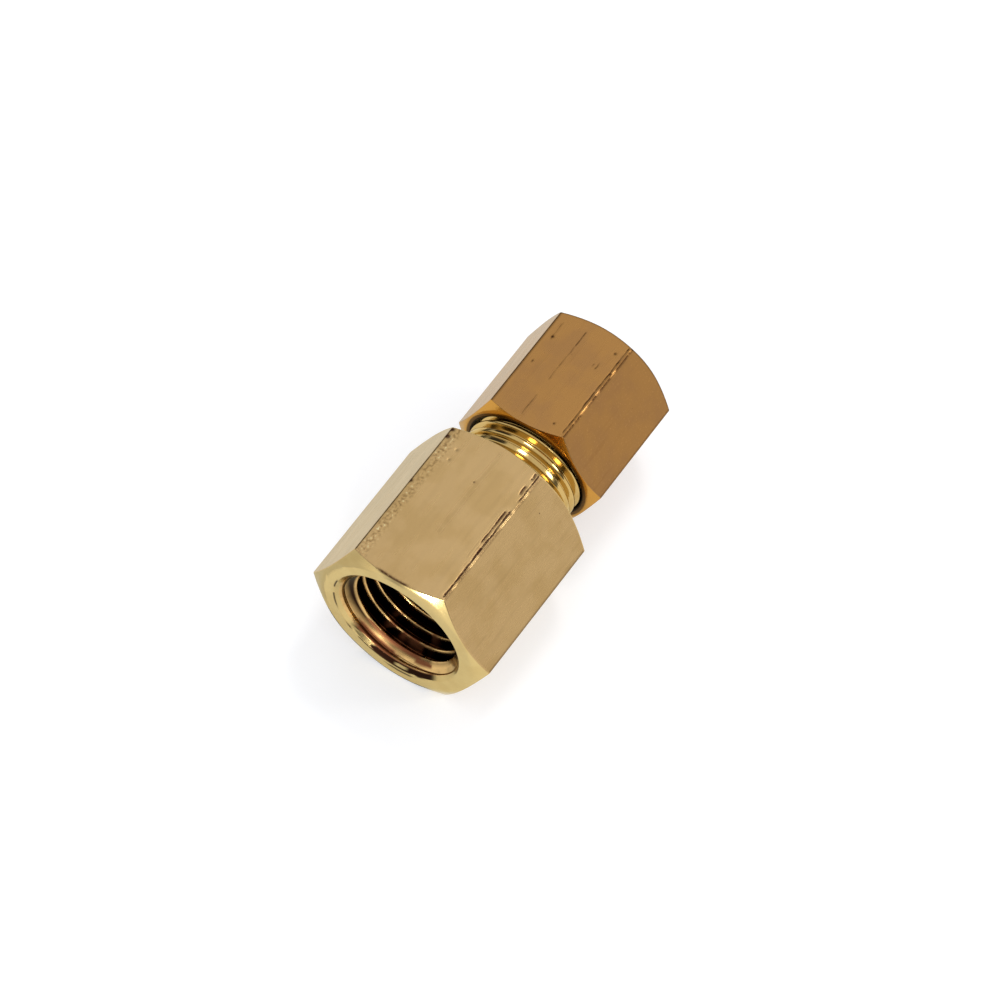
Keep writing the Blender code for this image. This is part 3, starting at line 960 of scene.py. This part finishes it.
def turned_brass(name, clean, tarnish_and_groove_shade, roughness, dirt_and_shade=DIRT_AND_SHADE, crest=None, taper=0.0):
    """Turned brass. crest is a thread's crest radius in mm: painted shade darkens the metal away from it."""
    material, tree, shader, place = new_metal(name)
    grime_and_shade = add(tree, "ShaderNodeAttribute", attribute_name="grime_and_shade").outputs["Fac"]
    parts = add(tree, "ShaderNodeSeparateXYZ", {0: place})
    across = add(tree, "ShaderNodeCombineXYZ", {1: parts.outputs[1], 2: parts.outputs[2]}).outputs[0]
    radius = add(tree, "ShaderNodeVectorMath", {0: across}, operation="LENGTH").outputs["Value"]
    on_lathe = add(tree, "ShaderNodeCombineXYZ", {0: parts.outputs[0], 1: radius}).outputs[0]
    rings = add(tree, "ShaderNodeTexNoise", {"Vector": on_lathe, "Scale": RINGS, "Detail": 2.0}).outputs[0]
    patches = add(tree, "ShaderNodeTexNoise", {"Vector": place, "Scale": 0.6, "Detail": 3.0}).outputs[0]
    layers = [(patches, 0.45, 0.70, 0.35, tarnish_and_groove_shade)]
    # Painted shade: a thread's grooves darken with their depth below the crests.
    if crest:
        from_port = {0: parts.outputs[0], 1: PORT_FACE_X / MM}
        station = add(tree, "ShaderNodeMath", from_port, operation="SUBTRACT").outputs[0]
        straightened = {0: station, 1: taper, 2: radius}
        level = add(tree, "ShaderNodeMath", straightened, operation="MULTIPLY_ADD").outputs[0]
        below = add(tree, "ShaderNodeMath", {0: level, 1: crest}, operation="SUBTRACT").outputs[0]
        fade = {"Value": station, "From Min": PAST_SINK[0], "From Max": PAST_SINK[1]}
        past_sink = add(tree, "ShaderNodeMapRange", fade).outputs[0]
        layers.append((below, 0.10, 0.32, past_sink, tarnish_and_groove_shade))
    layers.append((grime_and_shade, 0.0, 1.0, 1.0, dirt_and_shade))
    tree.links.new(layered(tree, clean, layers), shader.inputs["Base Color"])
    limits = {"Value": rings, "From Min": 0.3, "From Max": 0.7}
    limits |= {"To Min": roughness - 0.04, "To Max": roughness + 0.04}
    rough = add(tree, "ShaderNodeMapRange", limits).outputs[0]
    rough = add(tree, "ShaderNodeMath", {0: grime_and_shade, 1: 0.3, 2: rough}, operation="MULTIPLY_ADD").outputs[0]
    tree.links.new(rough, shader.inputs["Roughness"])
    height = add(tree, "ShaderNodeMath", {0: rings, 1: RING_HEIGHT}, operation="MULTIPLY").outputs[0]
    bump = add(tree, "ShaderNodeBump", {"Height": height, "Distance": MM})
    tree.links.new(bump.outputs[0], shader.inputs["Normal"])
    return material


print("tool marks", round(1 / RINGS, 2), "mm apart")

# %% [markdown]
# ### Finishes of the three pieces
# Each piece has its finishes in the order of their numbers: drawn, turned, threaded and bored. The ferrule
# is turned all over. Its drawn finish covers no face, and only keeps the turned one at its number.

# %% Finishes
PORT_CREST = PORT_RADIUS / MM
OILY = "#7c4c30"
# A drawn finish's last colour is for specks, grime and painted shade; a turned finish's dark colour is for
# grime and painted shade.
body_finishes = [
    drawn_brass("drawn_yellow_brass", "#bf9e6b", "#b89763", "#80623a", "#3a2016", 0.25),
    turned_brass("turned_yellow_brass", "#cfb578", "#c0a264", 0.20),
    turned_brass("threaded_yellow_brass", "#c8a868", "#a8803c", 0.13),
    # Its second colour, nearly black, is tarnish in patches and painted shade in the thread's grooves.
    turned_brass("tapped_yellow_brass", "#dcb474", "#241006", 0.18, OILY, PORT_CREST, PORT_TAPER),
]
nut_finishes = [
    drawn_brass("drawn_red_brass", "#b28249", "#ab7d4a", "#7a5230", "#38200f", 0.26),
    turned_brass("turned_red_brass", "#c48f40", "#a87834", 0.18),
    turned_brass("threaded_red_brass", "#c4954c", "#a87c40", 0.18),
    # Its last colour, nearly black, is the painted shade in the nut's mouth and thread.
    turned_brass("tapped_red_brass", "#a87840", "#4a2810", 0.22, "#1c0f08"),
]
ferrule_finishes = [
    drawn_brass("drawn_ring_brass", "#c8aa70", "#bc9c62", "#8a6a40", "#3a2016", 0.25),
    turned_brass("turned_ring_brass", "#d8bc84", "#c09858", 0.18),
]
for piece, finishes in ((body, body_finishes), (nut, nut_finishes), (ferrule, ferrule_finishes)):
    for finish in finishes:
        piece.data.materials.append(finish)
print(len(body.data.materials), "finishes on the body,", len(nut.data.materials), "on the nut")

# %% [markdown]
# ## The table
# Brass shows what it reflects, so the surroundings do most of the work. The fitting lies on a light table:
# an opal sheet that glows a little by itself, so that it stays white right up to the brass and the shadow
# is only a breath.

# %% Table
TABLE_RADIUS = 3.0
TABLE_GLOW = 0.47
TABLE_WHITE = 0.62
BELOW_BRASS = 0.02 * MM
floor_mesh = bpy.data.meshes.new("table")
floor_builder = bmesh.new()
bmesh.ops.create_circle(floor_builder, cap_ends=True, segments=96, radius=TABLE_RADIUS)
floor_builder.to_mesh(floor_mesh)
floor_builder.free()
floor = bpy.data.objects.new("table", floor_mesh)
bpy.context.scene.collection.objects.link(floor)
floor.location.z = -BELOW_BRASS
opal = bpy.data.materials.new("opal_light_table")
opal.use_nodes = True
opal_shader = opal.node_tree.nodes["Principled BSDF"]
opal_shader.inputs["Base Color"].default_value = (TABLE_WHITE, TABLE_WHITE, TABLE_WHITE, 1)
opal_shader.inputs["Roughness"].default_value = 0.9
opal_shader.inputs["Specular IOR Level"].default_value = 0.0
opal_shader.inputs["Emission Color"].default_value = (1, 1, 1, 1)
opal_shader.inputs["Emission Strength"].default_value = TABLE_GLOW
floor_mesh.materials.append(opal)
print("table reflects", TABLE_WHITE, "of the light and adds", TABLE_GLOW)

# %% [markdown]
# ## Sky, flag and softboxes
# The sky is white above and dark near the horizon, as past the edge of a softbox. A dark card, called a
# flag, stands behind on the left. Flat faces mirror the white parts. Worn corners and thread crests turn
# through every direction, so they mirror the flag, the horizon and the softboxes as thin dark and bright
# lines.

# %% Sky and flag
SKY = 0.90
HORIZON = 0.10
FLAG_WAY = Vector((0.445, 0.70, 0.56)).normalized()
FLAG_GREY = 0.05
SKY_COLOUR = (0.97, 1.0, 1.06, 1)
world = bpy.data.worlds.new("softbox_sky")
world.use_nodes = True
sky_tree = world.node_tree
sky_way = add(sky_tree, "ShaderNodeTexCoord").outputs["Generated"]
look_up = add(sky_tree, "ShaderNodeSeparateXYZ", {0: sky_way})
climb = {"Value": look_up.outputs[2], "From Min": 0.12, "From Max": 0.45}
climb |= {"To Min": HORIZON, "To Max": SKY}
brightness = add(sky_tree, "ShaderNodeMapRange", climb, interpolation_type="SMOOTHSTEP").outputs[0]
facing_flag = add(sky_tree, "ShaderNodeVectorMath", {0: sky_way, 1: FLAG_WAY}, operation="DOT_PRODUCT")
towards = facing_flag.outputs["Value"]
edge = {"Value": towards, "From Min": 0.945, "From Max": 0.975, "To Min": 1.0, "To Max": FLAG_GREY}
flag = add(sky_tree, "ShaderNodeMapRange", edge, interpolation_type="SMOOTHSTEP").outputs[0]
brightness = add(sky_tree, "ShaderNodeMath", {0: brightness, 1: flag}, operation="MULTIPLY").outputs[0]
seen = add(sky_tree, "ShaderNodeLightPath").outputs["Is Camera Ray"]
shown = add(sky_tree, "ShaderNodeMix", {0: seen, 2: brightness, 3: 1.0}).outputs[0]
sky_tree.links.new(shown, sky_tree.nodes["Background"].inputs["Strength"])
sky_tree.nodes["Background"].inputs["Color"].default_value = SKY_COLOUR
bpy.context.scene.world = world
print("sky strength", SKY, "above and", HORIZON, "at the horizon")

# %% Softboxes
middle = Vector((0, 0, AXIS_Z))


def softbox(name, direction, distance, size, brightness):
    """A square area light that faces the fitting. Its power is brightness times pi times its area."""
    light = bpy.data.lights.new(name, "AREA")
    light.shape = "SQUARE"
    light.size = size
    light.energy = brightness * math.pi * size**2
    lamp = bpy.data.objects.new(name, light)
    way = Vector(direction).normalized()
    lamp.location = middle + way * distance
    lamp.rotation_euler = (-way).to_track_quat("-Z", "Y").to_euler()
    bpy.context.scene.collection.objects.link(lamp)
    print(f"{name}: {size} m wide, {light.energy:.2f} W")
    return lamp


softbox("overhead_softbox", (0.445, -0.02, 0.896), 0.6, 0.12, 14.0)
softbox("side_softbox", (0.445, -0.81, 0.384), 0.6, 0.12, 14.0)
softbox("front_softbox", (-0.80, -0.39, 0.45), 0.7, 0.14, 14.0)
softbox("low_spot", (-1.0, -0.02, -0.03), 0.12, 0.010, 60.0)

# %% [markdown]
# ## Camera
# The camera looks down on the port from in front and to the right, through a long lens, so that the edges
# of the bar stay nearly parallel. It aims near the middle of the fitting.

# %% Camera
AZIMUTH = math.radians(33.755)
ELEVATION = math.radians(57.647)
DISTANCE = 0.5
FOCAL_LENGTH = 188.37
AIM_STATION = 14 * MM
AIM_RIGHT = 2.026 * MM
AIM_UP = 2.312 * MM
level = math.cos(ELEVATION)
back = Vector((-math.cos(AZIMUTH) * level, -math.sin(AZIMUTH) * level, math.sin(ELEVATION)))
turn = (-back).to_track_quat("-Z", "Y")
right = turn @ Vector((1, 0, 0))
up = turn @ Vector((0, 1, 0))
centre = Vector((PORT_FACE_X + AIM_STATION, 0, AXIS_Z)) + right * AIM_RIGHT + up * AIM_UP
lens = bpy.data.cameras.new("camera")
lens.lens = FOCAL_LENGTH
lens.sensor_width = 36
lens.clip_start = 0.01
camera = bpy.data.objects.new("camera", lens)
camera.location = centre + back * DISTANCE
camera.rotation_mode = "QUATERNION"
camera.rotation_quaternion = turn
bpy.context.scene.collection.objects.link(camera)
bpy.context.scene.camera = camera
bpy.context.scene.view_settings.view_transform = "Standard"
print("camera at", [round(value, 3) for value in camera.location])

# %% [markdown]
# ## Finish
# Last, the view layer is brought up to date.

# %% Finish
bpy.context.view_layer.update()
